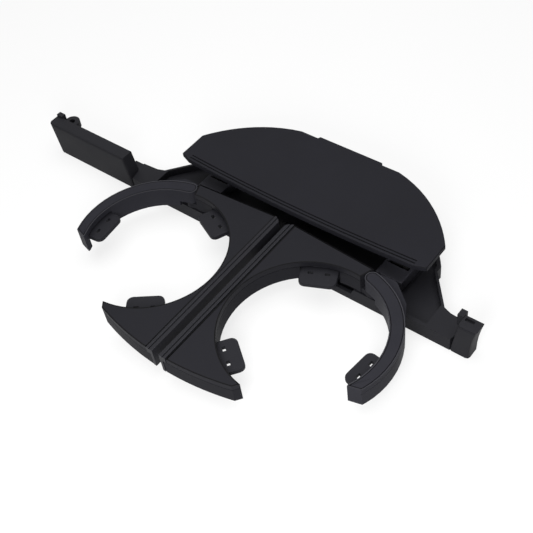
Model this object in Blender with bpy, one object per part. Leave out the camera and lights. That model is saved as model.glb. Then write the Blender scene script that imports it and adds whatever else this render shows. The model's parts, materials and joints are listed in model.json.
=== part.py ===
# Twin folding cup holder for a vehicle centre console.
# Two arms swing out of a low housing about upright pins, and each arm carries a curved finger
# that folds in as the arm swings home. Three sprung flaps in each ring steady the cup.
# X runs across, +Y to the rear, +Z up. The origin lies on the underside of the tray,
# midway between the two swing pins. The arms are modelled swung out, ready for use.
import math

import bmesh
import bpy
from mathutils import Matrix, Vector

MM = 0.001
ARC_STEP = 6.0
COARSE_STEP = 20.0
OVERCUT = 1.0
ROOTED = 0.5

# Clearances, in millimetres
CLEARANCE = 0.3
PRESS_GAP = 0.05
BORE_PLAY = 0.2

# Heights above the underside of the tray
FLOOR_THICK = 2.0
SHELF_RISE = 1.8
TRAY_RIM_Z = 8.0
ARM_LIFT = 1.0
ARM_BOTTOM_Z = TRAY_RIM_Z + ARM_LIFT
ARM_HEIGHT = 11.0
ARM_TOP_Z = ARM_BOTTOM_Z + ARM_HEIGHT
COVER_GAP = 0.4
COVER_THICK = 2.6

# Cup rings and arms
CUP_RADIUS = 38.0
RING_NECK = 7.3
RING_SETBACK = 2.0
CUP_X = CUP_RADIUS + RING_NECK
CUP_Y = -(CUP_RADIUS + RING_SETBACK)
PIN_X = 8.5
ARM_GAP_HALF = 2.0
BOW_NOSE = 8.0
BOW_FRONT_Y = CUP_Y - CUP_RADIUS - BOW_NOSE
BACK_Y = 8.0
BACK_SLOPE = 0.06
CORNER_GAP = 0.1
TAIL_END = 86.0
TAIL_THICK = 1.64
TAIL_TAPER = 7.0
TAIL_NOSE = 0.5
RING_SIDES = 72
ARM_WALL = 2.0
ARM_ROOF = 1.8
ARM_SKIN = 2.8
SEAM_GAP = 0.3
BODY_TOP_Z = ARM_TOP_Z - ARM_SKIN - SEAM_GAP
TOP_EDGE = 0.7
INSIDE_DROP = 0.9
RIB_THICK = 1.6
RIB_OFFSET = 2.6
RIB_FOOT = 0.6

# Trim along each arm's straight edge
TRIM_WIDTH = 3.6
TRIM_FACE = 1.5
TRIM_RAISE = 0.6
TRIM_EDGE = 0.5
TRIM_INSET = 0.2

# Swing hub
PIN_RADIUS = 2.0
PIN_SEAT_Z = 0.6
PIN_HEADROOM = 2.4
HUB_RADIUS = 4.6
HUB_DROP = 0.4
HUB_BOWL = 5.3
BOWL_WALL = 1.6
PAD_RADIUS = 3.1
SPRING_WIRE = 0.3
SPRING_RADIUS = PAD_RADIUS + SPRING_WIRE + 0.35
SPRING_PITCH = SPRING_WIRE * 2 + 0.15
SPRING_TURNS = 2.0
SPRING_LEG = 2.2

# Gear sector and rotary damper
GEAR_MODULE = 0.6
SECTOR_TEETH_COUNT = 20
SECTOR_CUT_COUNT = 6
PINION_TEETH_COUNT = 16
GEAR_BACKLASH = 0.15
GEAR_THICK = 2.8
DAMPER_RADIUS = 5.6
DAMPER_HEIGHT = 2.2
DAMPER_BORE = 1.5
DAMPER_EAR_HALF = 1.8
DAMPER_EAR_LONG = 1.6
DAMPER_EAR_THICK = 1.4
GEAR_LIFT = 0.4
GEAR_Z = FLOOR_THICK + CLEARANCE + DAMPER_HEIGHT + GEAR_LIFT
GEAR_ROOM = 1.4
TOOTH_HALVES = (0.30, 0.21, 0.09)
PLAIN_GAP_TURN = 3.0

# Folding fingers
FINGER_WIDTH = 7.0
FINGER_TIP_WIDTH = 5.4
FINGER_LEAN = 2.9
FINGER_START = 103.5
FINGER_ROOT = FINGER_START + 8.5
FINGER_LEAN_FROM = 125.0
FINGER_END = 204.0
FINGER_HUB = FINGER_WIDTH / 2
FINGER_WALL = 1.8
FINGER_ROOF = 2.4
FINGER_EDGE = 1.4
SEAM_DEPTH = 0.4
FINGER_PIN = 1.5
HINGE_FACE_TURN = 20.5
TONGUE_THICK = 3.0
TONGUE_HALF = 3.4
TONGUE_ROOT = 3.0
CAM_RISE = 6.0
CAM_Z = ARM_BOTTOM_Z + CAM_RISE
CAM_THICK = 1.6
# The cam flange: degrees past the finger's start, and reach beyond its outer wall
CAM_SHAPE = ((-1.0, 2.6), (6.8, 4.7), (8.7, 5.0), (10.6, 4.6), (23.5, 2.9), (34.5, 0.1))

# Sprung flaps
TAIL_FLAP_ANGLE = -53.5
REAR_FLAP_ANGLE = 66.0
FINGER_FLAP_ANGLE = 182.0
FINGER_FLAP_TURN = 4.2
FLAP_WIDTH = 18.0
FLAP_REACH = 10.0
FINGER_FLAP_REACH = 8.1
FLAP_THICK = 2.2
FLAP_CORNER = 3.0
FLAP_EDGE = 0.5
FLAP_AXIS_RISE = 6.0
FLAP_AXIS_Z = ARM_BOTTOM_Z + FLAP_AXIS_RISE
FLAP_AXIS_INSET = 1.8
FLAP_BARREL = 1.6
FLAP_STUB = 0.8
FLAP_STUB_LONG = 1.9
FLAP_BEARING = 3.4
BEARING_FRONT = 1.0
BEARING_BACK = 3.2
POCKET_FRONT = 6.0
POCKET_BACK = 0.4
WINDOW_LONG = 2.6
WINDOW_WIDE = 1.5
WINDOW_INSET = 2.4
WINDOW_SPREAD = 0.45

# Front frame. The stowed arms fill its notch, and the housing lies inside the notch's ends
FRONT_Y = -2.5
FRONT_WALL = 1.8
NOTCH_ROOM = 3.0
NOTCH_HALF_LOW = PIN_X - BOW_FRONT_Y + NOTCH_ROOM
NOTCH_SPREAD = 3.5
NOTCH_HALF_HIGH = NOTCH_HALF_LOW + NOTCH_SPREAD
LEFT_BLOCK_LONG = 61.0
RIGHT_BLOCK_LONG = 11.5
END_SLANT = 2.5
END_HOLLOW = 0.7
BLOCK_DEPTH = 7.0
BLOCK_WALL = 2.4
BLOCK_BEVEL = 1.6
BLOCK_RIB = 1.6
BLOCK_END_WALL = 4.2
BLOCK_RIB_COUNT = 2
EAR_RADIUS = 4.4
EAR_X = 8.5
EAR_SET = 2.2
EAR_LOW = 6.0
EAR_HIGH = 2.0
EAR_HOLE = 1.7
CLIP_LONG = 4.2
CLIP_DEEP = 2.2
CLIP_HIGH = 4.4
CLIP_RISE = 1.2
FOOT_LONG = 7.5
HOOK_WIDE = 3.0
HOOK_DEEP = 2.0
HOOK_HIGH = 6.6
HOOK_RISE = 0.4
SLOT_LONG = 4.4
SLOT_WIDE = 1.6
SLOT_DEEP = 1.2

# Ledges, well and housing behind the front frame
LEDGE_BACK_Y = 9.5
LEDGE_LONG = 11.5
LEDGE_CORNER_X = NOTCH_HALF_LOW - LEDGE_LONG
FLARE_RUN = 13.7
FLARE_X = LEDGE_CORNER_X - FLARE_RUN
FLARE_Y = 28.0
WALL = 2.0
WELL_HALF = LEDGE_CORNER_X - WALL
RIM_THICK = 1.6
SHELF_INSET = 7.3
SHELF_X = FLARE_X - SHELF_INSET
BACK_WALL_INSET = 22.3
BACK_WALL_HALF = FLARE_X - BACK_WALL_INSET
WEB_HALF = 1.2
WEB_FRONT_Y = 23.0
RELIEF_STEP = 0.6
RELIEF_Z = FLOOR_THICK + SHELF_RISE + RELIEF_STEP
RELIEF_HALF = 7.0
RELIEF_SLOPE = 2.0

# Cover, and the two screws that hold it from below
COVER_LAP = 1.3
COVER_HALF = FLARE_X + COVER_LAP
COVER_FRONT_Y = 11.8
COVER_BOW = 2.0
COVER_BACK_HALF = 30.0
COVER_PAST_RING = 25.2
SHOULDER_DEPTH = 30.0
COVER_BACK_Y = CUP_X - PIN_X + COVER_PAST_RING
COVER_SIDE_Y = COVER_BACK_Y - SHOULDER_DEPTH
COVER_TAB_HALF = 19.0
COVER_TAB = 1.4
COVER_CORNER = 6.0
COVER_CORNER_RUN = 2.2
COVER_EDGE = 0.6
LIP_LINES = (1.5, 3.2)
LIP_LINE_WIDE = 0.5
LIP_LINE_DEEP = 0.4
SCREW_RADIUS = 1.3
SCREW_HEAD = 2.6
SCREW_HEAD_THICK = 1.0
SCREW_SLOT = 0.3
BOSS_RADIUS = 2.6
BOSS_RISE = 1.6
FRONT_SCREW_SET = 26.2
BACK_SCREW_SET = 7.0
SCREW_SPOTS = ((0.0, COVER_FRONT_Y + FRONT_SCREW_SET), (0.0, COVER_BACK_Y - BACK_SCREW_SET))

# Push latches under the stowed arms
LATCH_INSET = 16.9
LATCH_X = FLARE_X - LATCH_INSET
LATCH_Y = 12.6
LATCH_LONG = 14.4
LATCH_DEEP = 15.4
LATCH_TOP_Z = TRAY_RIM_Z + 0.4
LATCH_WALL = 1.4
LATCH_POCKET = 6.0
PAWL_RADIUS = 1.6
PAWL_HALF = 0.8
PAWL_BACK = 3.0
PAWL_FRONT = 4.2


def clear_scene():
    for item in list(bpy.data.objects):
        bpy.data.objects.remove(item, do_unlink=True)


def make_material(name, color, roughness, metallic=0.0):
    material = bpy.data.materials.new(name)
    material.use_nodes = True
    shader = material.node_tree.nodes["Principled BSDF"]
    shader.inputs["Base Color"].default_value = (*color, 1.0)
    shader.inputs["Roughness"].default_value = roughness
    shader.inputs["Metallic"].default_value = metallic
    material.diffuse_color = (*color, 1.0)
    return material


def polar(centre, radius, angle):
    turn = math.radians(angle)
    return (centre[0] + radius * math.cos(turn), centre[1] + radius * math.sin(turn))


def arc(centre, radius, start, end, step=ARC_STEP):
    count = max(2, math.ceil(abs(end - start) / step))
    return [polar(centre, radius, start + (end - start) * i / count) for i in range(count + 1)]


def mirrored(points, side):
    # Outlines are drawn for the left half, where side is -1
    if side < 0:
        return points
    return [(-x, y) for x, y in reversed(points)]


def place_x(x, side):
    # x is drawn for the left half and is negative there
    return x if side < 0 else -x


def solid(points, low, high):
    # A closed prism over an outline, between two heights
    mesh = bpy.data.meshes.new("prism")
    shape = bmesh.new()
    ring = [shape.verts.new((x * MM, y * MM, low * MM)) for x, y in points]
    base = shape.faces.new(ring)
    grown = bmesh.ops.extrude_face_region(shape, geom=[base])
    raised = [item for item in grown["geom"] if isinstance(item, bmesh.types.BMVert)]
    bmesh.ops.translate(shape, verts=raised, vec=(0.0, 0.0, (high - low) * MM))
    bmesh.ops.recalc_face_normals(shape, faces=shape.faces)
    shape.to_mesh(mesh)
    shape.free()
    item = bpy.data.objects.new("prism", mesh)
    bpy.context.collection.objects.link(item)
    return item


def upright(points, front, back):
    # A closed prism over an outline in X and Z, between two depths
    item = solid(points, -back, -front)
    item.data.transform(Matrix.Rotation(math.radians(90.0), 4, "X"))
    return item


def box(x0, x1, y0, y1, z0, z1):
    return solid([(x0, y0), (x1, y0), (x1, y1), (x0, y1)], z0, z1)


def disc(centre, radius, low, high, sides=24):
    points = [polar(centre, radius, 360.0 * (i + 0.5) / sides) for i in range(sides)]
    return solid(points, low, high)


def bevel_edges(item, width, segments, chosen):
    # Round the edges for which chosen(edge) is true
    shape = bmesh.new()
    shape.from_mesh(item.data)
    edges = [edge for edge in shape.edges if chosen(edge)]
    bmesh.ops.bevel(shape, geom=edges, offset=width * MM, offset_type="OFFSET",
                    segments=segments, profile=0.5, affect="EDGES", clamp_overlap=True)
    shape.to_mesh(item.data)
    shape.free()
    return item


def round_rim(item, height, width, segments=2):
    # Round the edges of the flat face that lies at a height
    def on_rim(edge):
        level = all(abs(vert.co.z - height * MM) < 1e-6 for vert in edge.verts)
        flat = [abs(face.normal.z) > 0.99 for face in edge.link_faces]
        return level and flat.count(True) == 1
    return bevel_edges(item, width, segments, on_rim)


def boolean(item, tool, operation):
    modifier = item.modifiers.new("join", "BOOLEAN")
    modifier.operation = operation
    modifier.solver = "EXACT"
    modifier.object = tool
    graph = bpy.context.evaluated_depsgraph_get()
    result = bpy.data.meshes.new_from_object(item.evaluated_get(graph))
    item.modifiers.clear()
    item.data = result
    bpy.data.objects.remove(tool, do_unlink=True)
    return item


def cut(item, *tools):
    for tool in tools:
        boolean(item, tool, "DIFFERENCE")
    return item


def add(item, *tools):
    for tool in tools:
        boolean(item, tool, "UNION")
    return item


def keep(item, tool):
    return boolean(item, tool, "INTERSECT")


def turned(item, centre, angle):
    # Turn a shape drawn along +X into the direction of an angle about a centre
    move = Matrix.Translation(Vector((centre[0], centre[1], 0.0)) * MM)
    item.data.transform(move @ Matrix.Rotation(math.radians(angle), 4, "Z"))
    return item


def finish(item, name, material, pivot=(0.0, 0.0, 0.0), smooth=30.0):
    # Name a piece, give it its material and put its origin on its joint axis
    item.name = name
    item.data.name = name
    item.data.materials.clear()
    item.data.materials.append(material)
    origin = Vector(pivot) * MM
    item.data.transform(Matrix.Translation(-origin))
    item.location = origin
    item.data.shade_smooth()
    item.data.set_sharp_from_angle(angle=math.radians(smooth))
    return item


# Arms

def cup_centre(side):
    return (place_x(-CUP_X, side), CUP_Y)


def hinge_point():
    # Finger hinge on the left arm
    return polar(cup_centre(-1), CUP_RADIUS + FINGER_WIDTH / 2, FINGER_START)


def back_line(x, inset):
    return BACK_Y + BACK_SLOPE * x - inset


def bow_radius():
    # The front bow leaves the tail its thickness below the ring's end
    x, y = polar(cup_centre(-1), CUP_RADIUS, -TAIL_END)
    rise = y - TAIL_THICK - BOW_FRONT_Y
    return (x * x + rise * rise) / (2 * rise)


def bow_line(x, inset):
    radius = bow_radius()
    return BOW_FRONT_Y + radius - math.sqrt((radius - inset) ** 2 - x * x)


def hinge_face(inset):
    # A point on the flat end of the arm that faces the finger's hub, and the direction along that end
    hinge = Vector(hinge_point())
    turn = math.radians(HINGE_FACE_TURN)
    across = Vector((math.cos(turn), math.sin(turn)))
    along = Vector((-across.y, across.x))
    middle = hinge + across * (FINGER_HUB + CLEARANCE + inset)
    return middle, along


def swept_reach(x, inset):
    # How far back the arm may reach beside its pin, so that the two arms pass each other
    radius = PIN_X - CORNER_GAP - inset
    return min(back_line(x, inset), math.sqrt(radius ** 2 - (x + PIN_X) ** 2))


def swept_corner(inner_x, inset):
    # The inner rear corner is cut back along a circle about the swing pin
    steps = 4
    reach = PIN_X + inner_x
    xs = [inner_x - reach * i / steps for i in range(steps)]
    return [(x, swept_reach(x, inset)) for x in xs]


def arm_plan(inset, inner_x):
    # Counter-clockwise plan of the left arm before its ring is cut, pulled in by a wall thickness
    middle, along = hinge_face(inset)
    points = [(inner_x, bow_line(inner_x, inset))] + swept_corner(inner_x, inset)
    # The back edge ends where it meets the hinge face
    slide = 0.0
    while (middle + along * slide).y < back_line((middle + along * slide).x, inset):
        slide += 0.05
    points.append(tuple(middle + along * slide))
    points.append(tuple(middle - along * FINGER_WIDTH))
    points.append(cup_centre(-1))
    tip = polar(cup_centre(-1), CUP_RADIUS + inset, -TAIL_END + inset * TAIL_TAPER)
    points.append((tip[0], tip[1] + inset))
    low = bow_line(tip[0], inset)
    points.append((tip[0] - TAIL_NOSE, (tip[1] + low) / 2))
    steps = 12
    for i in range(steps):
        x = tip[0] + (inner_x - tip[0]) * i / steps
        points.append((x, bow_line(x, inset)))
    return points


def arm_slab(side, inset, inner_x, low, high):
    # The arm's plan as a slab between two heights, with the cup's ring cut out
    slab = solid(mirrored(arm_plan(inset, inner_x), side), low, high)
    ring = disc(cup_centre(side), CUP_RADIUS + inset, low - OVERCUT, high + OVERCUT, RING_SIDES)
    return cut(slab, ring)


def flap_axis():
    # Radius at which a flap's barrel is drawn
    return CUP_RADIUS + FLAP_AXIS_INSET


def flap_seats():
    # For each flap of the left arm: the centre and the angle that it is drawn about, and its reach
    ring = cup_centre(-1)
    barrel = finger_inner(FINGER_FLAP_ANGLE) + FLAP_AXIS_INSET
    angle = FINGER_FLAP_ANGLE + FINGER_FLAP_TURN
    seat = polar(polar(ring, barrel, FINGER_FLAP_ANGLE), -flap_axis(), angle)
    return {"tail_flap": (ring, TAIL_FLAP_ANGLE, FLAP_REACH),
            "rear_flap": (ring, REAR_FLAP_ANGLE, FLAP_REACH),
            "finger_flap": (seat, angle, FINGER_FLAP_REACH)}


def flap_frame(shape, side, flap):
    # Shapes for a flap are drawn with the ring's radius along +X, then turned into place
    centre, angle, _ = flap_seats()[flap]
    return turned(shape, (place_x(centre[0], side), centre[1]), angle if side < 0 else 180.0 - angle)


def flap_bearing(side, flap, low, high):
    half = FLAP_WIDTH / 2 + FLAP_BEARING
    block = box(CUP_RADIUS - BEARING_FRONT, flap_axis() + BEARING_BACK, -half, half, low, high)
    return flap_frame(block, side, flap)


def flap_pocket(side, flap, high):
    half = FLAP_WIDTH / 2 + CLEARANCE
    back = flap_axis() + FLAP_BARREL + POCKET_BACK
    pocket = box(CUP_RADIUS - POCKET_FRONT, back, -half, half, 0.0, high)
    return flap_frame(pocket, side, flap)


def along_barrel(radius, half, sides):
    # A rod that lies on a flap's axis
    rod = disc((0.0, 0.0), radius, -half, half, sides)
    rod.data.transform(Matrix.Rotation(math.radians(-90.0), 4, "X"))
    rod.data.transform(Matrix.Translation(Vector((flap_axis(), 0.0, FLAP_AXIS_Z)) * MM))
    return rod


def flap_bore(side, flap):
    half = FLAP_WIDTH / 2 + FLAP_STUB_LONG + CLEARANCE
    return flap_frame(along_barrel(FLAP_STUB + BORE_PLAY, half, 12), side, flap)


def gear_outline(centre, teeth, made, first_angle, plain):
    # Teeth with straight flanks on a disc; a sector keeps a plain hub where it has no teeth
    pitch = GEAR_MODULE * teeth / 2
    levels = (pitch - 1.25 * GEAR_MODULE, pitch, pitch + GEAR_MODULE)
    step = 360.0 / teeth
    flank = list(zip(levels, TOOTH_HALVES))
    points = []
    for i in range(round(made)):
        middle = first_angle + i * step
        points += [polar(centre, radius, middle - step * half) for radius, half in flank]
        points += [polar(centre, radius, middle + step * half) for radius, half in reversed(flank)]
    if made < teeth:
        side_turn = step * TOOTH_HALVES[0] + PLAIN_GAP_TURN
        last = first_angle + (made - 1) * step
        points += arc(centre, plain, last + side_turn, first_angle + 360.0 - side_turn, COARSE_STEP)
    return points


def damper_spot(side):
    # The pinion stands straight behind the swing pin
    distance = GEAR_MODULE * (SECTOR_TEETH_COUNT + PINION_TEETH_COUNT) / 2 + GEAR_BACKLASH
    return (place_x(-PIN_X, side), distance)


def make_rib(start, end, side, low, high):
    # A straight rib drawn on the left half from one point to another
    start = Vector(start)
    end = Vector(end)
    along = (end - start).normalized()
    across = Vector((-along.y, along.x)) * RIB_THICK / 2
    outline = [tuple(start + across), tuple(start - across), tuple(end - across), tuple(end + across)]
    return solid(mirrored(outline, side), low, high)


def arm_ribs():
    # From the hub along the neck and the back wall, and across the front corner
    ring = cup_centre(-1)
    inside = HUB_RADIUS - RIB_FOOT
    return (((-PIN_X, -inside), polar(ring, CUP_RADIUS + RIB_OFFSET, 22.0)),
            ((-PIN_X - inside, 0.0), polar(ring, CUP_RADIUS + RIB_OFFSET * 2.5, 78.0)),
            (polar(ring, CUP_RADIUS + ARM_WALL / 2, -38.0), polar(ring, CUP_RADIUS + 13.5, -38.0)))


def tongue_outline():
    # The tongue under the finger's hub, rooted in the arm's end
    hinge = hinge_point()
    face, along = hinge_face(0.0)
    half = FINGER_HUB - RIB_FOOT
    root = Vector((TONGUE_ROOT, 0.0))
    return [(hinge[0], hinge[1] + half), (hinge[0], hinge[1] - half),
            tuple(face - along * TONGUE_HALF + root), tuple(face + along * TONGUE_HALF + root)]


def make_arm_body(side, name, material):
    inner = -(ARM_GAP_HALF + TRIM_FACE + CLEARANCE)
    inside_top = BODY_TOP_Z - INSIDE_DROP
    body = arm_slab(side, 0.0, inner, ARM_BOTTOM_Z, BODY_TOP_Z)
    cut(body, arm_slab(side, ARM_WALL, inner - ARM_WALL, ARM_BOTTOM_Z - OVERCUT, BODY_TOP_Z - ARM_ROOF))
    pin = (place_x(-PIN_X, side), 0.0)
    start = 90.0 if side < 0 else 0.0
    teeth = gear_outline(pin, SECTOR_TEETH_COUNT, SECTOR_CUT_COUNT, start, HUB_RADIUS)
    add(body, disc(pin, HUB_RADIUS, GEAR_Z - HUB_DROP, inside_top),
        solid(teeth, GEAR_Z, GEAR_Z + GEAR_THICK))
    for start, end in arm_ribs():
        add(body, make_rib(start, end, side, ARM_BOTTOM_Z + RIB_FOOT, inside_top))
    flaps = ("tail_flap", "rear_flap")
    for flap in flaps:
        add(body, flap_bearing(side, flap, ARM_BOTTOM_Z, inside_top))
    # The tongue under the finger's hub carries the finger pin
    hinge = hinge_point()
    tongue_top = ARM_BOTTOM_Z + TONGUE_THICK
    spot = (place_x(hinge[0], side), hinge[1])
    add(body, disc(spot, FINGER_HUB - BORE_PLAY, ARM_BOTTOM_Z, tongue_top),
        solid(mirrored(tongue_outline(), side), ARM_BOTTOM_Z, tongue_top))
    cut(body, disc(cup_centre(side), CUP_RADIUS, 0.0, BODY_TOP_Z + OVERCUT, RING_SIDES))
    for flap in flaps:
        cut(body, flap_pocket(side, flap, BODY_TOP_Z + OVERCUT), flap_bore(side, flap))
    cut(body, disc(pin, PIN_RADIUS + CLEARANCE, 0.0, BODY_TOP_Z - PIN_HEADROOM),
        disc(spot, FINGER_PIN + CLEARANCE, 0.0, tongue_top + OVERCUT, 16))
    return finish(body, name, material, (pin[0], pin[1], ARM_BOTTOM_Z))


def make_arm_top(side, name, material):
    inner = -(ARM_GAP_HALF + TRIM_WIDTH + CLEARANCE)
    low = ARM_TOP_Z - ARM_SKIN
    plate = arm_slab(side, 0.0, inner, low, ARM_TOP_Z)
    round_rim(plate, ARM_TOP_Z, TOP_EDGE)
    return finish(plate, name, material, (place_x(-PIN_X, side), 0.0, low))


def make_trim(side, name, material):
    # An angle strip that caps the arm's straight edge and faces the cabin when the arm is home
    outer = -ARM_GAP_HALF
    front = bow_line(outer, 0.0) - TRIM_INSET
    top = ARM_TOP_Z + TRIM_RAISE
    ends = [(x, swept_reach(x, TRIM_INSET)) for x in (outer, outer - TRIM_FACE, outer - TRIM_WIDTH)]
    wall = [(outer, front)] + ends[:2] + [(outer - TRIM_FACE, front)]
    shelf = [(outer, front)] + ends + [(outer - TRIM_WIDTH, front)]
    strip = solid(mirrored(wall, side), ARM_BOTTOM_Z, top)
    add(strip, solid(mirrored(shelf, side), ARM_TOP_Z - ARM_SKIN, top))
    round_rim(strip, top, TRIM_EDGE)
    return finish(strip, name, material, (place_x(-PIN_X, side), 0.0, ARM_BOTTOM_Z))


def make_pin(name, spot, radius, low, high, material):
    return finish(disc(spot, radius, low, high, 20), name, material, (spot[0], spot[1], low))


def make_coil(name, spot, low, material, side):
    # The torsion spring that opens the arm: an open coil with two straight legs
    sides = 6
    steps = round(SPRING_TURNS * 14)
    path = []
    for i in range(steps + 1):
        angle = 360.0 * SPRING_TURNS * i / steps * (1 if side < 0 else -1)
        x, y = polar(spot, SPRING_RADIUS, angle)
        path.append(Vector((x, y, low + SPRING_WIRE + SPRING_PITCH * SPRING_TURNS * i / steps)))
    first = (path[0] - path[1]).normalized()
    last = (path[-1] - path[-2]).normalized()
    path.insert(0, path[0] + Vector((first.x, first.y, 0.0)) * SPRING_LEG)
    path.append(path[-1] + Vector((last.x, last.y, 0.0)) * SPRING_LEG)
    mesh = bpy.data.meshes.new(name)
    shape = bmesh.new()
    rings = []
    for i, point in enumerate(path):
        ahead = path[min(i + 1, len(path) - 1)]
        behind = path[max(i - 1, 0)]
        along = (ahead - behind).normalized()
        flat = along.cross(Vector((0.0, 0.0, 1.0))).normalized()
        up = flat.cross(along)
        ring = []
        for k in range(sides):
            turn = 2 * math.pi * k / sides
            rim = (flat * math.cos(turn) + up * math.sin(turn)) * SPRING_WIRE
            ring.append(shape.verts.new((point + rim) * MM))
        rings.append(ring)
    for below, above in zip(rings, rings[1:]):
        for k in range(sides):
            shape.faces.new((below[k], below[(k + 1) % sides], above[(k + 1) % sides], above[k]))
    shape.faces.new(rings[0][::-1])
    shape.faces.new(rings[-1])
    bmesh.ops.recalc_face_normals(shape, faces=shape.faces)
    shape.to_mesh(mesh)
    shape.free()
    item = bpy.data.objects.new(name, mesh)
    bpy.context.collection.objects.link(item)
    return finish(item, name, material, (spot[0], spot[1], low))


# Fingers

def finger_bend(angle):
    # 0 over the finger's rear part, rising to 1 at its tip
    share = (angle - FINGER_LEAN_FROM) / (FINGER_END - FINGER_LEAN_FROM)
    return max(0.0, share) ** 1.5


def finger_inner(angle):
    # The finger leans into the ring towards its tip
    return CUP_RADIUS - FINGER_LEAN * finger_bend(angle)


def finger_outer(angle):
    return finger_inner(angle) + FINGER_WIDTH - (FINGER_WIDTH - FINGER_TIP_WIDTH) * finger_bend(angle)


def finger_band(inner_wall, outer_wall, start, end, tip_round):
    # Plan of the left finger between two angles, with a wall taken off each side and a blunt end
    ring = cup_centre(-1)
    count = math.ceil((end - tip_round - start) / ARC_STEP)
    angles = [start + (end - tip_round - start) * i / count for i in range(count + 1)]
    low = finger_inner(end) + inner_wall
    high = finger_outer(end) - outer_wall
    points = [polar(ring, finger_outer(angle) - outer_wall, angle) for angle in angles]
    points += [polar(ring, high * 0.8 + low * 0.2, end), polar(ring, high * 0.2 + low * 0.8, end)]
    points += [polar(ring, finger_inner(angle) + inner_wall, angle) for angle in reversed(angles)]
    return points


def cam_outline():
    # The flange on the outer side meets the housing as the arm swings home
    ring = cup_centre(-1)
    outer = CUP_RADIUS + FINGER_WIDTH
    rim = [polar(ring, outer + reach, FINGER_START + turn) for turn, reach in CAM_SHAPE]
    inside = outer - FINGER_WALL / 2
    return rim + arc(ring, inside, FINGER_START + CAM_SHAPE[-1][0] - 3.0, FINGER_START + CAM_SHAPE[0][0])


def root_outline():
    # A wedge over the finger's hub and root
    ring = cup_centre(-1)
    inner = CUP_RADIUS - FINGER_WIDTH / 2
    outer = CUP_RADIUS + FINGER_WIDTH * 1.5
    start = FINGER_START - 2 * ARC_STEP
    return [polar(ring, outer, start), polar(ring, outer, FINGER_ROOT),
            polar(ring, inner, FINGER_ROOT), polar(ring, inner, start)]


def seam_outline():
    # A band that bites the seam's depth into the outer wall, from the root to past the tip
    ring = cup_centre(-1)
    end = FINGER_END + ARC_STEP
    count = math.ceil((end - FINGER_ROOT) / ARC_STEP)
    angles = [FINGER_ROOT + (end - FINGER_ROOT) * i / count for i in range(count + 1)]
    outside = [polar(ring, finger_outer(angle) + OVERCUT, angle) for angle in angles]
    return outside + [polar(ring, finger_outer(angle) - SEAM_DEPTH, angle) for angle in reversed(angles)]


def make_finger(side, name, material):
    hinge = hinge_point()
    spot = (place_x(hinge[0], side), hinge[1])
    hub_low = ARM_BOTTOM_Z + TONGUE_THICK + CLEARANCE
    whole = finger_band(0.0, 0.0, FINGER_START, FINGER_END, 3.0)
    body = solid(mirrored(whole, side), ARM_BOTTOM_Z, ARM_TOP_Z)
    add(body, disc(spot, FINGER_HUB, hub_low, ARM_TOP_Z, 28))
    round_rim(body, ARM_TOP_Z, FINGER_EDGE, 3)
    # Its root is cut back from below to pass over the arm's tongue
    cut(body, solid(mirrored(root_outline(), side), ARM_BOTTOM_Z - OVERCUT, hub_low))
    hollow = finger_band(FINGER_WALL, FINGER_WALL, FINGER_ROOT + 3.0, FINGER_END - 14.0, 2.0)
    cut(body, solid(mirrored(hollow, side), ARM_BOTTOM_Z - OVERCUT, ARM_TOP_Z - FINGER_ROOF))
    # The flap's bearing block stands inside the hollow
    bearing = flap_bearing(side, "finger_flap", ARM_BOTTOM_Z, ARM_TOP_Z - FINGER_ROOF + ROOTED)
    inside = finger_band(ROOTED, ROOTED, FINGER_ROOT, FINGER_END, 3.0)
    keep(bearing, solid(mirrored(inside, side), ARM_BOTTOM_Z - OVERCUT, ARM_TOP_Z))
    add(body, bearing)
    cut(body, flap_pocket(side, "finger_flap", ARM_TOP_Z - ARM_SKIN), flap_bore(side, "finger_flap"))
    add(body, solid(mirrored(cam_outline(), side), CAM_Z, CAM_Z + CAM_THICK))
    # The seam under the finger's crowned top runs along its outer wall
    seam = solid(mirrored(seam_outline(), side), ARM_TOP_Z - ARM_SKIN - SEAM_GAP, ARM_TOP_Z - ARM_SKIN)
    cut(body, seam)
    cut(body, disc(spot, FINGER_PIN + CLEARANCE, 0.0, ARM_TOP_Z - FINGER_ROOF, 16))
    return finish(body, name, material, (spot[0], spot[1], ARM_BOTTOM_Z))


def flap_pivot(side, flap):
    centre, angle, _ = flap_seats()[flap]
    x, y = polar(centre, flap_axis(), angle)
    return (place_x(x, side), y, FLAP_AXIS_Z)


def make_flap(side, flap, name, material):
    # A rounded tab with two windows at its root, on a barrel with a stub at each end
    half = FLAP_WIDTH / 2
    tip = CUP_RADIUS - flap_seats()[flap][2]
    root = flap_axis()
    outline = [(root, -half), (root, half)]
    outline += arc((tip + FLAP_CORNER, half - FLAP_CORNER), FLAP_CORNER, 90.0, 180.0, 22.5)
    outline += arc((tip + FLAP_CORNER, -half + FLAP_CORNER), FLAP_CORNER, 180.0, 270.0, 22.5)
    low = FLAP_AXIS_Z - FLAP_THICK / 2
    tab = solid(outline[::-1], low, low + FLAP_THICK)
    round_rim(tab, low + FLAP_THICK, FLAP_EDGE)
    add(tab, along_barrel(FLAP_BARREL, half, 16), along_barrel(FLAP_STUB, half + FLAP_STUB_LONG, 12))
    window = CUP_RADIUS - WINDOW_INSET
    for middle in (-half * WINDOW_SPREAD, half * WINDOW_SPREAD):
        cut(tab, box(window - WINDOW_WIDE, window, middle - WINDOW_LONG / 2, middle + WINDOW_LONG / 2,
                     low - OVERCUT, low + FLAP_THICK + OVERCUT))
    flap_frame(tab, side, flap)
    return finish(tab, name, material, flap_pivot(side, flap))


# Dampers

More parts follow.
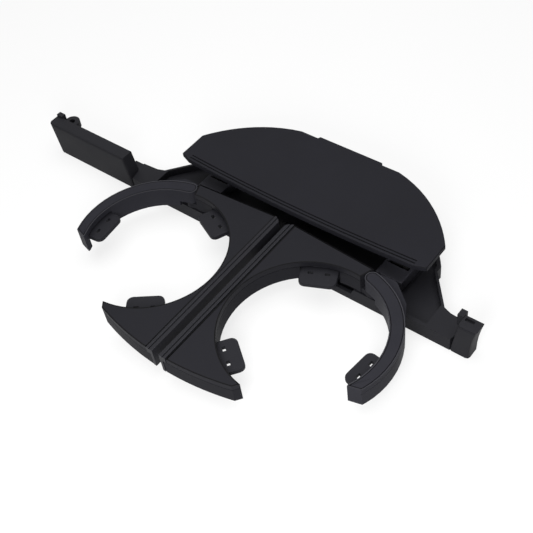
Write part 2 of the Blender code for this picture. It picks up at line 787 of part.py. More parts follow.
def make_damper(side, name, material):
    spot = damper_spot(side)
    low = FLOOR_THICK + CLEARANCE
    case = disc(spot, DAMPER_RADIUS, low, low + DAMPER_HEIGHT, 28)
    add(case, box(spot[0] - DAMPER_EAR_HALF, spot[0] + DAMPER_EAR_HALF, spot[1],
                  spot[1] + DAMPER_RADIUS + DAMPER_EAR_LONG, low, low + DAMPER_EAR_THICK))
    cut(case, disc(spot, DAMPER_BORE, low + INSIDE_DROP, low + DAMPER_HEIGHT + OVERCUT, 16))
    return finish(case, name, material, (spot[0], spot[1], low))


def make_pinion(side, name, material):
    spot = damper_spot(side)
    # A gap of the pinion faces the sector's tooth
    first = -90.0 + 180.0 / PINION_TEETH_COUNT
    teeth = gear_outline(spot, PINION_TEETH_COUNT, PINION_TEETH_COUNT, first, 0.0)
    wheel = solid(teeth, GEAR_Z, GEAR_Z + GEAR_THICK)
    low = FLOOR_THICK + 2 * CLEARANCE + INSIDE_DROP
    add(wheel, disc(spot, DAMPER_BORE - CLEARANCE, low, GEAR_Z + GEAR_THICK + HUB_DROP, 16))
    return finish(wheel, name, material, (spot[0], spot[1], GEAR_Z))


# Housing

def bezier(p0, p1, p2, p3, count):
    points = []
    for i in range(count + 1):
        t = i / count
        a = (1 - t) ** 3
        b = 3 * (1 - t) ** 2 * t
        c = 3 * (1 - t) * t * t
        d = t ** 3
        points.append((a * p0[0] + b * p1[0] + c * p2[0] + d * p3[0],
                       a * p0[1] + b * p1[1] + c * p2[1] + d * p3[1]))
    return points


def shoulder(inset):
    # The curved rear shoulder of the housing on the left, from the side to the back
    half = COVER_HALF - inset
    back = COVER_BACK_Y - inset
    side_y = COVER_SIDE_Y - inset * 0.4
    return bezier((-half, side_y), (-half + 7.5, side_y + 11.0),
                  (-half + 21.5, back - 5.0), (-COVER_BACK_HALF, back), 12)


def both_halves(left):
    # Close an outline drawn down the left half from front to back with its mirror image
    return left + [(-x, y) for x, y in reversed(left)]


def lip_line(step):
    # The left half of the cover's front edge, which bows forward in the middle, moved back by a step
    corner_x = COVER_HALF - COVER_CORNER
    count = 7
    points = []
    for i in range(count):
        share = (i + 1) / count
        points.append((-corner_x * share, COVER_FRONT_Y + step + COVER_BOW * share * share))
    return points


def make_cover(name, material):
    low = ARM_TOP_Z + COVER_GAP
    high = low + COVER_THICK
    left = lip_line(0.0)
    left.append((-COVER_HALF, left[-1][1] + COVER_CORNER_RUN))
    left += shoulder(0.0)
    left += [(-COVER_TAB_HALF - COVER_EDGE, COVER_BACK_Y), (-COVER_TAB_HALF, COVER_BACK_Y + COVER_TAB)]
    plate = solid(both_halves(left)[::-1], low, high)
    round_rim(plate, high, COVER_EDGE)
    # Two fine grooves run along the front lip
    for step in LIP_LINES:
        near = both_halves(lip_line(step)[::-1])
        far = both_halves(lip_line(step + LIP_LINE_WIDE)[::-1])[::-1]
        cut(plate, solid(near + far, high - LIP_LINE_DEEP, high + OVERCUT))
    # Posts take the screws from below
    foot = TRAY_RIM_Z + BOSS_RISE + HUB_DROP
    for spot in SCREW_SPOTS:
        add(plate, disc(spot, BOSS_RADIUS - CLEARANCE, foot, low + ROOTED, 16))
        cut(plate, disc(spot, SCREW_RADIUS - BORE_PLAY, TRAY_RIM_Z, low - OVERCUT, 12))
    return finish(plate, name, material, (0.0, COVER_FRONT_Y, low))


def tray_outline():
    # The tray behind the front wall: a ledge on each side, a flare and the housing's rear curve
    left = [(-NOTCH_HALF_LOW + ROOTED, FRONT_Y), (-NOTCH_HALF_LOW - WALL, LEDGE_BACK_Y),
            (-LEDGE_CORNER_X - 2 * WALL, LEDGE_BACK_Y + 0.6), (-LEDGE_CORNER_X, LEDGE_BACK_Y + WALL),
            (-FLARE_X, FLARE_Y)]
    return both_halves(left + shoulder(COVER_LAP))[::-1]


def make_block(end_low, end_high, notch_low, notch_high, hollow):
    # A front block with leaning ends. Its outer end may be hollow; end and notch X are given low and high
    steps = 4
    end = []
    for i in range(steps + 1):
        share = i / steps
        bow = hollow * 4.0 * share * (1.0 - share)
        end.append((end_low + (end_high - end_low) * share - bow, ARM_TOP_Z * share))
    item = upright(end + [(notch_high, ARM_TOP_Z), (notch_low, 0.0)], FRONT_Y, FRONT_Y + BLOCK_DEPTH)

    def on_front(edge):
        front = all(abs(vert.co.y - FRONT_Y * MM) < 1e-6 for vert in edge.verts)
        return front and any(vert.co.z > BLOCK_BEVEL * MM for vert in edge.verts)
    return bevel_edges(item, BLOCK_BEVEL, 2, on_front)


def block_pocket(start, end):
    # The blocks are shells that are open to the rear
    return box(start, end, FRONT_Y + BLOCK_WALL, FRONT_Y + BLOCK_DEPTH + OVERCUT, BLOCK_WALL,
               ARM_TOP_Z - BLOCK_WALL)


def make_left_block():
    end_x = -NOTCH_HALF_LOW - LEFT_BLOCK_LONG
    block = make_block(end_x + END_SLANT, end_x, -NOTCH_HALF_LOW, -NOTCH_HALF_HIGH, 0.0)
    start = end_x + BLOCK_END_WALL
    end = -NOTCH_HALF_HIGH - BLOCK_END_WALL
    pocket = (end - start - BLOCK_RIB_COUNT * BLOCK_RIB) / (BLOCK_RIB_COUNT + 1)
    for i in range(round(BLOCK_RIB_COUNT) + 1):
        left = start + i * (pocket + BLOCK_RIB)
        cut(block, block_pocket(left, left + pocket))
    # A rounded ear for a screw and a small clip stand behind its outer end
    back = FRONT_Y + BLOCK_DEPTH
    ear = (end_x + EAR_X, back + EAR_SET)
    add(block, disc(ear, EAR_RADIUS, ARM_TOP_Z - EAR_LOW, ARM_TOP_Z - EAR_HIGH))
    add(block, box(end_x, end_x + CLIP_LONG, back - ROOTED, back + CLIP_DEEP,
                   ARM_TOP_Z - CLIP_HIGH, ARM_TOP_Z + CLIP_RISE))
    # Its foot runs on behind its inner end, level with the ledge
    add(block, box(-NOTCH_HALF_LOW - FOOT_LONG, -NOTCH_HALF_LOW - ROOTED,
                   back - OVERCUT, LEDGE_BACK_Y - ROOTED, 0.0, TRAY_RIM_Z))
    return cut(block, disc(ear, EAR_HOLE, ARM_TOP_Z - EAR_LOW - OVERCUT, ARM_TOP_Z, 16))


def make_right_block():
    end_x = NOTCH_HALF_LOW + RIGHT_BLOCK_LONG
    block = make_block(end_x - END_SLANT, end_x, NOTCH_HALF_LOW - OVERCUT, NOTCH_HALF_HIGH - OVERCUT,
                       END_HOLLOW)
    cut(block, block_pocket(NOTCH_HALF_HIGH + OVERCUT, end_x - BLOCK_END_WALL))
    # A hooked lug stands behind its inner end
    back = FRONT_Y + BLOCK_DEPTH
    right = NOTCH_HALF_HIGH - OVERCUT
    add(block, box(right - HOOK_WIDE, right, back - HOOK_DEEP, back + HOOK_DEEP,
                   ARM_TOP_Z - HOOK_HIGH, ARM_TOP_Z + HOOK_RISE))
    # A narrow slot beside it in the top
    slot = right + OVERCUT
    middle = back - HOOK_DEEP
    return cut(block, box(slot, slot + SLOT_LONG, middle - SLOT_WIDE / 2, middle + SLOT_WIDE / 2,
                          ARM_TOP_Z - SLOT_DEEP, ARM_TOP_Z + OVERCUT))


def flap_relief(side):
    # A dip in the front wall, where the rear flap's outer corner tilts past it
    centre, angle, _ = flap_seats()["rear_flap"]
    corner = polar(polar(centre, flap_axis(), angle), FLAP_WIDTH / 2, angle + 90.0)
    top = TRAY_RIM_Z + OVERCUT
    half = RELIEF_HALF + RELIEF_SLOPE
    left = [(corner[0] - RELIEF_HALF, RELIEF_Z), (corner[0] + RELIEF_HALF, RELIEF_Z),
            (corner[0] + half, top), (corner[0] - half, top)]
    return upright(mirrored(left, side), FRONT_Y - OVERCUT, FRONT_Y + FRONT_WALL + ROOTED)


def well_outlines():
    # The well under the stowed arms: a shelf all over, and the deep part between the shelf's inner edges
    rear = shoulder(COVER_LAP + WALL)
    front = FRONT_Y + FRONT_WALL
    shelf = [(-WELL_HALF, front), (-WELL_HALF, LEDGE_BACK_Y + WALL + ROOTED),
             (-FLARE_X + RIM_THICK, FLARE_Y)]
    deep = [(-SHELF_X, front), (-SHELF_X, COVER_SIDE_Y)]
    deep += [(x, y) for x, y in rear if x > -SHELF_X + WALL]
    return both_halves(shelf + rear)[::-1], both_halves(deep)[::-1]


def make_tray(name, material):
    tray = solid(tray_outline(), 0.0, TRAY_RIM_Z)
    shelf, deep = well_outlines()
    cut(tray, solid(shelf, FLOOR_THICK + SHELF_RISE, TRAY_RIM_Z + OVERCUT),
        solid(deep, FLOOR_THICK, TRAY_RIM_Z + OVERCUT))
    add(tray, make_left_block(), make_right_block())
    # Back wall up to the cover, and the web between the stowed arms
    wall_top = ARM_TOP_Z + COVER_GAP - CLEARANCE
    outer = [(x, y) for x, y in shoulder(COVER_LAP) if x > -BACK_WALL_HALF]
    inner = [(x, y) for x, y in shoulder(COVER_LAP + WALL) if x > -BACK_WALL_HALF + ROOTED]
    shell = both_halves(outer) + list(reversed(both_halves(inner)))
    add(tray, solid(shell[::-1], TRAY_RIM_Z - OVERCUT, wall_top))
    add(tray, box(-WEB_HALF, WEB_HALF, WEB_FRONT_Y, COVER_BACK_Y - COVER_LAP - WALL / 2,
                  FLOOR_THICK - ROOTED, wall_top))
    # Screw bosses from the floor, and bosses and pads that carry the swing pins
    boss_top = TRAY_RIM_Z + BOSS_RISE
    for spot in SCREW_SPOTS:
        add(tray, disc(spot, BOSS_RADIUS, FLOOR_THICK - ROOTED, boss_top, 20))
        cut(tray, disc(spot, BOSS_RADIUS + BORE_PLAY / 2, boss_top, wall_top + OVERCUT, 20),
            disc(spot, SCREW_RADIUS + BORE_PLAY, -OVERCUT, boss_top + OVERCUT, 12),
            disc(spot, SCREW_HEAD + CLEARANCE, -OVERCUT, SCREW_HEAD_THICK + 2 * CLEARANCE, 20))
    gear_room = GEAR_MODULE * (SECTOR_TEETH_COUNT / 2 + 1) + GEAR_ROOM
    for side in (-1, 1):
        pin = (place_x(-PIN_X, side), 0.0)
        add(tray, disc(pin, HUB_BOWL + BOWL_WALL, 0.0, TRAY_RIM_Z, 36))
        cut(tray, disc(pin, HUB_BOWL, FLOOR_THICK, TRAY_RIM_Z + OVERCUT, 36),
            box(pin[0] - gear_room, pin[0] + gear_room, FRONT_Y + FRONT_WALL, gear_room,
                FLOOR_THICK, TRAY_RIM_Z + OVERCUT), flap_relief(side))
        add(tray, disc(pin, PAD_RADIUS, FLOOR_THICK - ROOTED, GEAR_Z - HUB_DROP - CLEARANCE))
        cut(tray, disc(pin, PIN_RADIUS + PRESS_GAP, PIN_SEAT_Z, GEAR_Z, 20))
    return finish(tray, name, material)


def make_screw(name, spot, material):
    head_top = CLEARANCE + SCREW_HEAD_THICK
    screw = disc(spot, SCREW_HEAD, CLEARANCE, head_top, 20)
    add(screw, disc(spot, SCREW_RADIUS - CLEARANCE, head_top - CLEARANCE, ARM_TOP_Z - OVERCUT, 12))
    slot = SCREW_HEAD - OVERCUT
    cut(screw, box(spot[0] - slot, spot[0] + slot, spot[1] - SCREW_SLOT, spot[1] + SCREW_SLOT,
                   0.0, CLEARANCE + SCREW_HEAD_THICK / 2))
    return finish(screw, name, material, (spot[0], spot[1], 0.0))


# Push latches

def pocket_front():
    return LATCH_Y + LATCH_DEEP - LATCH_WALL - LATCH_POCKET


def make_latch_case(side, name, material):
    # A closed case with a pocket for the pawl in its rear part
    x = place_x(-LATCH_X, side)
    half = LATCH_LONG / 2
    low = FLOOR_THICK + CLEARANCE
    case = box(x - half, x + half, LATCH_Y, LATCH_Y + LATCH_DEEP, low, LATCH_TOP_Z)
    round_rim(case, LATCH_TOP_Z, CLEARANCE)
    front = pocket_front()
    cut(case, box(x - half + LATCH_WALL, x + half - LATCH_WALL, front, front + LATCH_POCKET,
                  low + LATCH_WALL, LATCH_TOP_Z + OVERCUT))
    return finish(case, name, material, (x, LATCH_Y, low))


def latch_pivot(side):
    return (place_x(-LATCH_X - PAWL_BACK, side), pocket_front() + LATCH_POCKET / 2)


def make_latch_pawl(side, name, material):
    spot = latch_pivot(side)
    low = FLOOR_THICK + CLEARANCE + LATCH_WALL + CLEARANCE
    high = LATCH_TOP_Z - HUB_DROP
    reach = place_x(-LATCH_X + PAWL_FRONT, side)
    pawl = disc(spot, PAWL_RADIUS, low, high, 16)
    add(pawl, box(min(spot[0], reach), max(spot[0], reach), spot[1] - PAWL_HALF, spot[1] + PAWL_HALF,
                  low, high - ROOTED))
    return finish(pawl, name, material, (spot[0], spot[1], low))


def build():
    clear_scene()
    shell = make_material("housing_plastic", (0.028, 0.029, 0.032), 0.48)
    cover = make_material("cover_plastic", (0.030, 0.031, 0.034), 0.46)
    arm = make_material("arm_plastic", (0.026, 0.027, 0.030), 0.44)
    top = make_material("arm_top_plastic", (0.031, 0.032, 0.035), 0.42)
    trim = make_material("trim_plastic", (0.033, 0.034, 0.037), 0.38)
    flap_look = make_material("flap_plastic", (0.034, 0.035, 0.038), 0.60)
    steel = make_material("pin_steel", (0.55, 0.56, 0.58), 0.30, 1.0)
    spring = make_material("spring_steel", (0.42, 0.43, 0.45), 0.35, 1.0)
    acetal = make_material("gear_acetal", (0.030, 0.030, 0.031), 0.40)
    make_tray("housing_tray", shell)
    make_cover("top_cover", cover)
    for number, spot in enumerate(SCREW_SPOTS, 1):
        make_screw(f"cover_screw_{number}", spot, steel)
    hinge = hinge_point()
    for side, word in ((-1, "left"), (1, "right")):
        pin = (place_x(-PIN_X, side), 0.0)
        spot = (place_x(hinge[0], side), hinge[1])
        make_arm_body(side, f"{word}_arm_body", arm)
        make_arm_top(side, f"{word}_arm_top", top)
        make_trim(side, f"{word}_arm_trim", trim)
        make_pin(f"{word}_swing_pin", pin, PIN_RADIUS, PIN_SEAT_Z + CLEARANCE,
                 BODY_TOP_Z - PIN_HEADROOM - CLEARANCE, steel)
        make_coil(f"{word}_swing_spring", pin, FLOOR_THICK + PRESS_GAP * 2, spring, side)
        make_finger(side, f"{word}_finger", arm)
        make_pin(f"{word}_finger_pin", spot, FINGER_PIN, ARM_BOTTOM_Z,
                 ARM_TOP_Z - FINGER_ROOF - CLEARANCE, steel)
        for flap in flap_seats():
            make_flap(side, flap, f"{word}_{flap}", flap_look)
        make_damper(side, f"{word}_damper_case", shell)
        make_pinion(side, f"{word}_damper_pinion", acetal)
        make_latch_case(side, f"{word}_latch_case", shell)
        make_latch_pawl(side, f"{word}_latch_pawl", acetal)


build()
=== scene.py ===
# Looks for a fold-out double cup holder: black moulded plastic, small flaps, steel pins.
import json
import math

import bpy
from mathutils import Euler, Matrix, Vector


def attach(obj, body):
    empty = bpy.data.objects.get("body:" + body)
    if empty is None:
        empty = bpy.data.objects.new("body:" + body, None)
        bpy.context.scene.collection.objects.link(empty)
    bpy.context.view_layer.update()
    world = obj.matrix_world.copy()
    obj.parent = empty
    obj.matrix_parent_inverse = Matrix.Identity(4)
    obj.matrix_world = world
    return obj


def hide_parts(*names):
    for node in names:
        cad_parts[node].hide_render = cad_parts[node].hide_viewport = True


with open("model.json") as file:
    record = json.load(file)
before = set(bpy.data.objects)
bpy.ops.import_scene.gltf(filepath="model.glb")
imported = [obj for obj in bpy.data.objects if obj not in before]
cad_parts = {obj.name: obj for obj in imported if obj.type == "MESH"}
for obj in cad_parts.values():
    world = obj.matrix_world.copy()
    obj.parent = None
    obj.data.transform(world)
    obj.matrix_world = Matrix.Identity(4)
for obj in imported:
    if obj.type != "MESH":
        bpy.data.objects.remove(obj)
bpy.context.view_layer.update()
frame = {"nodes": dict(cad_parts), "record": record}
mm = 0.001
white = (1.0, 1.0, 1.0, 1.0)
slots = {"face": 0, "corner": 1, "line": 2}  # the material slots of a dressed piece
flatUp = 0.99  # a face whose normal rises this much lies level


def setStage():
    # The camera stands in front and to the right, looking down on the holder
    camera = {"place": (208.29, -218.18, 336.92), "turn": (41.068, 6.199, 37.963), "lens": 61.78,
              "sensor": 36.0, "near": 0.01, "far": 20.0}
    lamps = (
        {"name": "softboxAbove", "place": (-60, 60, 700), "aim": (0, 0, 0), "size": 900, "power": 6.6},
        {"name": "softboxFront", "place": (140, -240, 180), "aim": (0, -60, 0), "size": 140, "power": 0.8},
    )
    scene = bpy.context.scene
    scene.view_settings.view_transform = "Standard"
    data = bpy.data.cameras.new("photoCamera")
    data.sensor_width = camera["sensor"]
    data.lens = camera["lens"]
    data.clip_start = camera["near"]
    data.clip_end = camera["far"]
    eye = bpy.data.objects.new("photoCamera", data)
    eye.location = Vector(camera["place"]) * mm
    eye.rotation_euler = Euler([math.radians(angle) for angle in camera["turn"]], "XYZ")
    scene.collection.objects.link(eye)
    scene.camera = eye
    for lamp in lamps:
        light = bpy.data.lights.new(lamp["name"], "AREA")
        light.size = lamp["size"] * mm
        light.energy = lamp["power"]
        holder = bpy.data.objects.new(lamp["name"], light)
        holder.location = Vector(lamp["place"]) * mm
        aim = Vector(lamp["aim"]) * mm - holder.location
        holder.rotation_euler = aim.to_track_quat("-Z", "Y").to_euler()
        scene.collection.objects.link(holder)
    print("stage set")


def linear(code):
    # sRGB hex to linear colour
    values = [int(code[i:i + 2], 16) / 255 for i in (1, 3, 5)]
    return tuple(v / 12.92 if v <= 0.04045 else ((v + 0.055) / 1.055) ** 2.4 for v in values) + (1.0,)


def addNode(tree, kind, settings=None, links=None):
    # One node with its own settings, its socket values and what feeds its sockets
    node = tree.nodes.new(kind)
    for key, value in (settings or {}).items():
        if hasattr(node, key):
            setattr(node, key, value)
        else:
            node.inputs[key].default_value = value
    for key, source in (links or {}).items():
        tree.links.new(source, node.inputs[key])
    return node


def newMaterial(name):
    material = bpy.data.materials.new(name)
    material.use_nodes = True
    tree = material.node_tree
    tree.nodes.clear()
    return material, tree


def mouldedPlastic(look):
    # Injection-moulded plastic, mass-coloured black, with a fine spark-eroded grain: the grain scatters
    # the highlights, the colour stays even, and dust and handling leave faint cloudy differences in gloss.
    # Real grain is about 0.1 mm across and is drawn about three times as coarse, so that it shows
    depth = 0.05  # of the grain, in mm
    duller, glossier = 0.05, 0.04  # how far the roughness strays from its middle
    material, tree = newMaterial(look["name"])
    place = addNode(tree, "ShaderNodeTexCoord").outputs["Object"]
    cloud = addNode(tree, "ShaderNodeTexNoise",
                    {"Scale": 1 / (look["cloud"] * mm), "Detail": 3.0, "Roughness": 0.55},
                    {"Vector": place})
    grain = addNode(tree, "ShaderNodeTexNoise",
                    {"Scale": 1 / (look["grain"] * mm), "Detail": 2.0, "Roughness": 0.6},
                    {"Vector": place})
    tint = addNode(tree, "ShaderNodeMix", {"data_type": "RGBA"}, {0: cloud.outputs["Fac"]})
    tint.inputs[6].default_value = linear(look["dark"])
    tint.inputs[7].default_value = linear(look["light"])
    gloss = addNode(tree, "ShaderNodeMapRange",
                    {"From Min": 0.3, "From Max": 0.7,
                     "To Min": look["rough"] - glossier, "To Max": look["rough"] + duller},
                    {"Value": cloud.outputs["Fac"]})
    bump = addNode(tree, "ShaderNodeBump", {"Strength": look["bump"], "Distance": depth * mm},
                   {"Height": grain.outputs["Fac"]})
    shader = addNode(tree, "ShaderNodeBsdfPrincipled", {"IOR": 1.53, "Specular IOR Level": look["shine"]},
                     {"Base Color": tint.outputs[2], "Roughness": gloss.outputs[0],
                      "Normal": bump.outputs[0]})
    addNode(tree, "ShaderNodeOutputMaterial", links={"Surface": shader.outputs[0]})
    return material


def drawnSteel(look):
    # Drawn steel, as pins, screws and spring wire have it: bright metal with small differences in polish
    polished, worn = 0.06, 0.08  # how far the roughness strays from its middle
    material, tree = newMaterial(look["name"])
    place = addNode(tree, "ShaderNodeTexCoord").outputs["Object"]
    marks = addNode(tree, "ShaderNodeTexNoise", {"Scale": 1 / (look["marks"] * mm), "Detail": 2.0},
                    {"Vector": place})
    gloss = addNode(tree, "ShaderNodeMapRange",
                    {"To Min": look["rough"] - polished, "To Max": look["rough"] + worn},
                    {"Value": marks.outputs["Fac"]})
    shader = addNode(tree, "ShaderNodeBsdfPrincipled",
                     {"Metallic": 1.0, "Base Color": linear(look["color"])},
                     {"Roughness": gloss.outputs[0]})
    addNode(tree, "ShaderNodeOutputMaterial", links={"Surface": shader.outputs[0]})
    return material


def mouldedAcetal(look):
    # Black acetal, moulded: smooth and slightly waxy
    material, tree = newMaterial(look["name"])
    place = addNode(tree, "ShaderNodeTexCoord").outputs["Object"]
    cloud = addNode(tree, "ShaderNodeTexNoise", {"Scale": 1 / (look["cloud"] * mm), "Detail": 2.0},
                    {"Vector": place})
    gloss = addNode(tree, "ShaderNodeMapRange", {"To Min": look["smooth"], "To Max": look["dull"]},
                    {"Value": cloud.outputs["Fac"]})
    shader = addNode(tree, "ShaderNodeBsdfPrincipled",
                     {"IOR": 1.48, "Specular IOR Level": 0.15, "Base Color": linear(look["color"])},
                     {"Roughness": gloss.outputs[0]})
    addNode(tree, "ShaderNodeOutputMaterial", links={"Surface": shader.outputs[0]})
    return material


def seenOrMirrored(tree):
    # 1 for what the camera sees, also in gloss or through glass, and 0 for the light that falls on things
    path = addNode(tree, "ShaderNodeLightPath")
    seen = addNode(tree, "ShaderNodeMath", {"operation": "MAXIMUM"},
                   {0: path.outputs["Is Camera Ray"], 1: path.outputs["Is Glossy Ray"]})
    seen = addNode(tree, "ShaderNodeMath", {"operation": "MAXIMUM"},
                   {0: seen.outputs[0], 1: path.outputs["Is Transmission Ray"]})
    return seen.outputs[0]


def makeFloor():
    # Plain painted board, white where it is seen, that keeps the holder's soft shadow
    floor = {"half": 3000, "shade": "#f2f2f2", "keep": 0.25}
    material, tree = newMaterial("paleFloor")
    paint = addNode(tree, "ShaderNodeBsdfDiffuse", {"Color": linear(floor["shade"])})
    glow = addNode(tree, "ShaderNodeEmission", {"Color": white, "Strength": 1.0})
    pale = addNode(tree, "ShaderNodeMixShader", {"Fac": 1.0 - floor["keep"]},
                   {1: paint.outputs[0], 2: glow.outputs[0]})
    both = addNode(tree, "ShaderNodeMixShader", None,
                   {0: seenOrMirrored(tree), 1: paint.outputs[0], 2: pale.outputs[0]})
    addNode(tree, "ShaderNodeOutputMaterial", links={"Surface": both.outputs[0]})
    deselect()
    bpy.ops.mesh.primitive_plane_add(size=2 * floor["half"] * mm, location=(0, 0, 0))
    plane = bpy.context.active_object
    plane.name = "paleFloor"
    plane.data.materials.append(material)
    print("floor made")


def makeRoom():
    # A white room that lights the holder only a little and leaves the rest to the lamps
    room = {"dim": 0.05, "bright": 1.0}
    world = bpy.data.worlds.new("paleRoom")
    bpy.context.scene.world = world
    world.use_nodes = True
    tree = world.node_tree
    tree.nodes.clear()
    dim = addNode(tree, "ShaderNodeBackground", {"Color": white, "Strength": room["dim"]})
    bright = addNode(tree, "ShaderNodeBackground", {"Color": white, "Strength": room["bright"]})
    mix = addNode(tree, "ShaderNodeMixShader", None,
                  {0: seenOrMirrored(tree), 1: dim.outputs[0], 2: bright.outputs[0]})
    addNode(tree, "ShaderNodeOutputWorld", links={"Surface": mix.outputs[0]})
    print("room made")


def deselect():
    if bpy.context.object and bpy.context.object.mode != "OBJECT":
        bpy.ops.object.mode_set(mode="OBJECT")
    bpy.ops.object.select_all(action="DESELECT")


def pick(item):
    deselect()
    item.select_set(True)
    bpy.context.view_layer.objects.active = item


def pressLine(copy, line):
    # A fine moulded line along the top of a strip, past both ends of it, cut with a thin bar
    corners = [Vector(corner) for corner in copy.bound_box]
    low = Vector([min(c[i] for c in corners) for i in range(3)])
    high = Vector([max(c[i] for c in corners) for i in range(3)])
    inner = high.x if abs(high.x) > abs(low.x) else low.x
    outer = low.x if inner == high.x else high.x
    middle = outer + (inner - outer) * line["share"]
    bpy.ops.mesh.primitive_cube_add(size=1, location=(middle, (low.y + high.y) / 2, high.z))
    bar = bpy.context.active_object
    bar.scale = (line["wide"] * mm, (high.y - low.y) + 2 * line["past"] * mm, 2 * line["deep"] * mm)
    bpy.ops.object.transform_apply(location=True, rotation=False, scale=True)
    pick(copy)
    groove = copy.modifiers.new("groove", "BOOLEAN")
    groove.operation = "DIFFERENCE"
    groove.solver = "EXACT"
    groove.object = bar
    bpy.ops.object.modifier_apply(modifier="groove")
    bpy.data.objects.remove(bar)


def bluntEnd(end, node):
    # The thin end of a tail or finger, moulded blunt: the last sliver comes off square to its run
    side = -1 if node.startswith("left") else 1
    across = Vector((end["toward"][0] * side, end["toward"][1], 0.0)).normalized()
    bpy.ops.mesh.select_all(action="SELECT")
    bpy.ops.mesh.bisect(plane_co=(end["at"][0] * side * mm, end["at"][1] * mm, 0.0), plane_no=across,
                        use_fill=True, clear_outer=True)


def rimSeam(copy, rim):
    # A seam round the top face, coloured with painted shade. Where the rim outside it has a width, the rim
    # takes the corner colour, on the fingers a painted highlight like a rubbed corner, and the seam is
    # pressed in
    level, narrow = 0.05, 0.25  # in mm, and as a share of the top face
    faces = copy.data.polygons
    top = max((face for face in faces if face.normal.z > flatUp), key=lambda face: face.area)
    height = top.center.z
    chosen = top.index
    for face in faces:
        face.select = face.index == chosen
    bpy.ops.object.mode_set(mode="EDIT")
    bpy.ops.mesh.select_mode(type="FACE")
    if "wide" in rim:
        bpy.ops.mesh.inset(thickness=rim["wide"] * mm)
    bpy.ops.mesh.inset(thickness=rim["seam"] * mm, use_select_inset=True)
    copy.active_material_index = slots[rim["slot"]]
    bpy.ops.object.material_slot_assign()
    if "deep" in rim:
        bpy.ops.mesh.inset(thickness=rim["slant"] * mm, depth=-rim["deep"] * mm)
    bpy.ops.object.mode_set(mode="OBJECT")
    if "wide" in rim:
        faces = copy.data.polygons
        crown = max(face.area for face in faces if face.normal.z > flatUp)
        for face in faces:
            onTop = face.normal.z > flatUp and abs(face.center.z - height) < level * mm
            if onTop and face.material_index == slots["face"] and face.area < crown * narrow:
                face.material_index = slots["corner"]


def shadeLines(copy, depth):
    # The bottoms of the fine lines, found by how far they lie below the top, take the line colour: painted
    # shade
    nearlyLevel = 0.9
    top = max(vertex.co.z for vertex in copy.data.vertices)
    for face in copy.data.polygons:
        below = (top - face.center.z) / mm
        if face.normal.z > nearlyLevel and depth[0] < below < depth[1]:
            face.material_index = slots["line"]


def softened(node, look):
    # A copy of a solid with its triangles joined into faces and its sharp edges rounded as moulding leaves
    # them. Lengths are in mm and angles in degrees
    rounding = {"weld": 0.002, "join": 0.6, "steps": 2, "sharp": 30, "smooth": 35}
    solid = frame["nodes"][node]
    copy = solid.copy()
    copy.data = solid.data.copy()
    copy.name = f"{node}_surface"
    copy.data.name = copy.name
    copy.parent = None
    for key in list(copy.keys()):
        del copy[key]
    bpy.context.scene.collection.objects.link(copy)
    copy.data.materials.clear()
    for material in (look["material"], look["corner"], fineLine):
        copy.data.materials.append(material)
    pick(copy)
    bpy.ops.object.mode_set(mode="EDIT")
    bpy.ops.mesh.select_all(action="SELECT")
    bpy.ops.mesh.remove_doubles(threshold=rounding["weld"] * mm)
    bpy.ops.mesh.dissolve_limited(angle_limit=math.radians(rounding["join"]), delimit={"NORMAL"})
    if "blunt" in look:
        bluntEnd(look["blunt"], node)
    bpy.ops.object.mode_set(mode="OBJECT")
    if "line" in look:
        pressLine(copy, look["line"])
    edge = copy.modifiers.new("edge", "BEVEL")
    edge.width = look["edge"] * mm
    # The rounded edges take the corner colour: a painted highlight on trims and fingers, painted shade on
    # the rest
    edge.material = slots["corner"]
    edge.segments = rounding["steps"]
    edge.limit_method = "ANGLE"
    edge.angle_limit = math.radians(rounding["sharp"])
    edge.use_clamp_overlap = True
    bpy.ops.object.modifier_apply(modifier="edge")
    if "shaded" in look:
        shadeLines(copy, look["shaded"])
    if "rim" in look:
        rimSeam(copy, look["rim"])
    bpy.ops.object.shade_smooth_by_angle(angle=math.radians(rounding["smooth"]))
    even = copy.modifiers.new("even", "WEIGHTED_NORMAL")
    even.keep_sharp = True
    bpy.ops.object.modifier_apply(modifier="even")
    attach(copy, bodyOf(node))
    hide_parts(node)


def bodyOf(node):
    for body, members in frame["record"]["behaviour"]["bodies"].items():
        if node in members:
            return body
    return "housing"


def slotOf(node):
    return next(row["material_slot"] for row in frame["record"]["subparts"] if row["node"] == node)


def lookOf(node):
    # The later word wins, so a finger's flap is dressed as a flap. Pins keep their own shape
    found = [look for word, look in looks.items() if word in node and not node.endswith("pin")]
    return found[-1] if found else None


setStage()
makeFloor()
makeRoom()

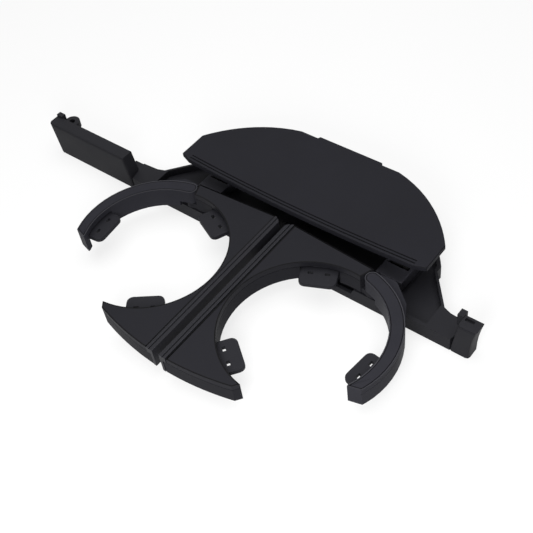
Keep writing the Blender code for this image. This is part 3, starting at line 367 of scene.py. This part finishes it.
# Black grained plastics, with the sizes of grain and clouds in mm
plastics = {
    "housing_plastic": {"name": "housingAbs", "dark": "#1b1b1e", "light": "#222226",
                        "rough": 0.52, "shine": 0.06, "bump": 0.25, "grain": 0.35, "cloud": 22},
    "cover_plastic": {"name": "coverAbs", "dark": "#1b1b1f", "light": "#222227",
                      "rough": 0.52, "shine": 0.04, "bump": 0.25, "grain": 0.35, "cloud": 30},
    "arm_plastic": {"name": "armAbs", "dark": "#1b1b1e", "light": "#222226",
                    "rough": 0.48, "shine": 0.02, "bump": 0.18, "grain": 0.3, "cloud": 18},
    "arm_top_plastic": {"name": "armTopAbs", "dark": "#1b1b1f", "light": "#212125",
                        "rough": 0.50, "shine": 0.04, "bump": 0.2, "grain": 0.3, "cloud": 24},
    "trim_plastic": {"name": "trimAbs", "dark": "#1b1b1f", "light": "#222226",
                     "rough": 0.42, "shine": 0.07, "bump": 0.12, "grain": 0.3, "cloud": 20},
    "flap_plastic": {"name": "flapNylon", "dark": "#1c1c20", "light": "#232327",
                     "rough": 0.52, "shine": 0.06, "bump": 0.2, "grain": 0.3, "cloud": 10},
    # The fingers are coloured lighter than the arms: painted light, for the brighter light that they catch
    # and mirror out at the sides
    "finger_plastic": {"name": "fingerAbsPaintedLight", "dark": "#25252a", "light": "#2d2d32",
                       "rough": 0.46, "shine": 0.02, "bump": 0.16, "grain": 0.3, "cloud": 14},
    # The latch cases are bought parts; their lighter grey is painted light, for the light that reaches
    # them under the cover
    "latch_plastic": {"name": "latchCasePaintedLight", "dark": "#34343a", "light": "#3e3e44",
                      "rough": 0.5, "shine": 0.1, "bump": 0.2, "grain": 0.3, "cloud": 8},
}
finishes = {slot: mouldedPlastic(look) for slot, look in plastics.items()}
finishes["pin_steel"] = drawnSteel({"name": "drawnSteel", "color": "#c3c5c9", "rough": 0.28, "marks": 0.4})
finishes["spring_steel"] = drawnSteel({"name": "springWire", "color": "#a4a7ac", "rough": 0.32,
                                       "marks": 0.4})
finishes["gear_acetal"] = mouldedAcetal({"name": "blackAcetal", "color": "#1f1f20", "smooth": 0.32,
                                         "dull": 0.44, "cloud": 3.0})

# Rubbed edges are smoother than the grained faces and are coloured lighter, a painted highlight; the other
# rounded edges are coloured darker, a painted shade, and painted shade darkens the bottoms of the fine
# lines
paintedHighlightEdge = mouldedPlastic({"name": "rubbedEdgePaintedHighlight", "dark": "#27272c", "light": "#2f2f34",
                           "rough": 0.38, "shine": 0.1, "bump": 0.05, "grain": 0.3, "cloud": 12})
# Painted shade on the rounded edges
paintedShadeEdge = mouldedPlastic({"name": "edgePaintedShade", "dark": "#080809", "light": "#0b0b0c",
                          "rough": 0.5, "shine": 0.05, "bump": 0.1, "grain": 0.3, "cloud": 12})
# Painted shade in the bottoms of the fine lines
fineLine = mouldedPlastic({"name": "lineShade", "dark": "#111113", "light": "#151517",
                           "rough": 0.6, "shine": 0.02, "bump": 0.1, "grain": 0.3, "cloud": 12})
print("finishes made")

# How each kind of piece is dressed, in mm: its rounded edge, the point where its thin end is cut and the
# way that the cut faces, its fine lines and how deep their bottoms lie
tailEnd = {"at": (39.6, -79.4), "toward": (0.8, -0.6)}
fingerEnd = {"at": (79.5, -53.4), "toward": (0.25, -0.97)}
looks = {
    "housing_tray": {"edge": 0.4, "corner": paintedShadeEdge},
    "top_cover": {"edge": 0.12, "corner": paintedShadeEdge, "shaded": (0.3, 0.5)},
    "arm_body": {"edge": 0.45, "corner": paintedShadeEdge, "blunt": tailEnd},
    "arm_top": {"edge": 0.4, "corner": paintedShadeEdge, "blunt": tailEnd, "rim": {"seam": 0.6, "slot": "corner"}},
    "arm_trim": {"edge": 0.22, "corner": paintedHighlightEdge, "shaded": (0.3, 0.4),
                 "line": {"share": 0.56, "wide": 0.7, "deep": 0.35, "past": 1.0}},
    "finger": {"edge": 0.5, "corner": paintedHighlightEdge, "blunt": fingerEnd,
               "rim": {"wide": 0.5, "seam": 0.4, "slant": 0.08, "deep": 0.2, "slot": "line"}},
    "flap": {"edge": 0.25, "corner": paintedShadeEdge},
}
for node, item in frame["nodes"].items():
    look = lookOf(node)
    if look:
        # Fingers take their lighter colour, which is painted light
        finish = finishes["finger_plastic" if node.endswith("finger") else slotOf(node)]
        softened(node, {**look, "material": finish})
    else:
        # Latch cases take their lighter grey, which is painted light
        finish = finishes["latch_plastic" if node.endswith("latch_case") else slotOf(node)]
        item.data.materials.clear()
        item.data.materials.append(finish)
print("surfaces made")
